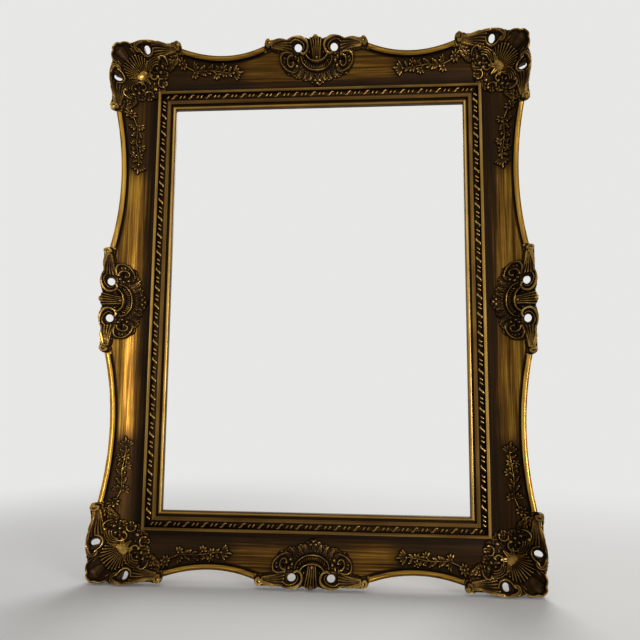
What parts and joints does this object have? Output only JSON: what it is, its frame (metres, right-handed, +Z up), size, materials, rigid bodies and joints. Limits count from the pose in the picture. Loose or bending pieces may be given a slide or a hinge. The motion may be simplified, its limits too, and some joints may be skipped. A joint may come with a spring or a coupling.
{
  "type": "picture frame",
  "caption": "Swept gilded picture frame: coved rails, rope sight moulding, pierced corner and centre ornaments, flower sprays, hanging rings and turn buttons.",
  "frame": {"origin": "middle of the top rail's flat back face, on the wall", "axes": "+Z up along the frame's height, +Y into the wall, front faces -Y, +X to the viewer's right"},
  "size_m": [0.625, 0.0705, 0.792],
  "materials": {
    "gilded_wood": "gilded, toned with a dark brown glaze, satin",
    "gilded_moulding": "gilded, toned with a dark brown glaze, rubbed bright on the edges",
    "gilded_composition": "cast composition, gilded, dark glaze in the hollows, bright on the crests",
    "plated_steel": "zinc plated"
  },
  "bodies": {
    "frame": {"rail_top": "gilded_wood", "rail_right": "gilded_wood", "rail_bottom": "gilded_wood", "rail_left": "gilded_wood", "sight_moulding_top": "gilded_moulding", "sight_moulding_right": "gilded_moulding", "sight_moulding_bottom": "gilded_moulding", "sight_moulding_left": "gilded_moulding", "rope_top": "gilded_composition", "rope_right": "gilded_composition", "rope_bottom": "gilded_composition", "rope_left": "gilded_composition", "corner_ornament_top_right": "gilded_composition", "corner_ornament_bottom_right": "gilded_composition", "corner_ornament_bottom_left": "gilded_composition", "corner_ornament_top_left": "gilded_composition", "centre_ornament_top": "gilded_composition", "centre_ornament_right": "gilded_composition", "centre_ornament_bottom": "gilded_composition", "centre_ornament_left": "gilded_composition", "top_spray_right": "gilded_composition", "right_spray_top": "gilded_composition", "right_spray_bottom": "gilded_composition", "bottom_spray_right": "gilded_composition", "bottom_spray_left": "gilded_composition", "left_spray_bottom": "gilded_composition", "left_spray_top": "gilded_composition", "top_spray_left": "gilded_composition", "hanger_strap_left": "plated_steel", "hanger_strap_right": "plated_steel", "hanger_screws": "plated_steel", "turn_button_screws": "plated_steel", "corner_v_nails": "plated_steel"},
    "hanger_ring_left": {"hanger_ring_left": "plated_steel"},
    "hanger_ring_right": {"hanger_ring_right": "plated_steel"},
    "turn_button_left_upper": {"turn_button_left_upper": "plated_steel"},
    "turn_button_left_middle": {"turn_button_left_middle": "plated_steel"},
    "turn_button_left_lower": {"turn_button_left_lower": "plated_steel"},
    "turn_button_right_upper": {"turn_button_right_upper": "plated_steel"},
    "turn_button_right_middle": {"turn_button_right_middle": "plated_steel"},
    "turn_button_right_lower": {"turn_button_right_lower": "plated_steel"}
  },
  "joints": [
    {"name": "ring_swing_left", "type": "hinge", "parent": "frame", "child": "hanger_ring_left", "pos_m": [-0.248, 0.00255, -0.18177], "axis": [1, 0, 0], "range_deg": [0, 180]},
    {"name": "ring_swing_right", "type": "hinge", "parent": "frame", "child": "hanger_ring_right", "pos_m": [0.248, 0.00255, -0.18177], "axis": [1, 0, 0], "range_deg": [0, 180]},
    {"name": "button_turn_left_upper", "type": "hinge", "parent": "frame", "child": "turn_button_left_upper", "pos_m": [-0.235, 0.00085, -0.13177], "axis": [0, 1, 0], "continuous": true},
    {"name": "button_turn_left_middle", "type": "hinge", "parent": "frame", "child": "turn_button_left_middle", "pos_m": [-0.235, 0.00085, -0.33177], "axis": [0, 1, 0], "continuous": true},
    {"name": "button_turn_left_lower", "type": "hinge", "parent": "frame", "child": "turn_button_left_lower", "pos_m": [-0.235, 0.00085, -0.53177], "axis": [0, 1, 0], "continuous": true},
    {"name": "button_turn_right_upper", "type": "hinge", "parent": "frame", "child": "turn_button_right_upper", "pos_m": [0.235, 0.00085, -0.13177], "axis": [0, 1, 0], "continuous": true},
    {"name": "button_turn_right_middle", "type": "hinge", "parent": "frame", "child": "turn_button_right_middle", "pos_m": [0.235, 0.00085, -0.33177], "axis": [0, 1, 0], "continuous": true},
    {"name": "button_turn_right_lower", "type": "hinge", "parent": "frame", "child": "turn_button_right_lower", "pos_m": [0.235, 0.00085, -0.53177], "axis": [0, 1, 0], "continuous": true}
  ]
}
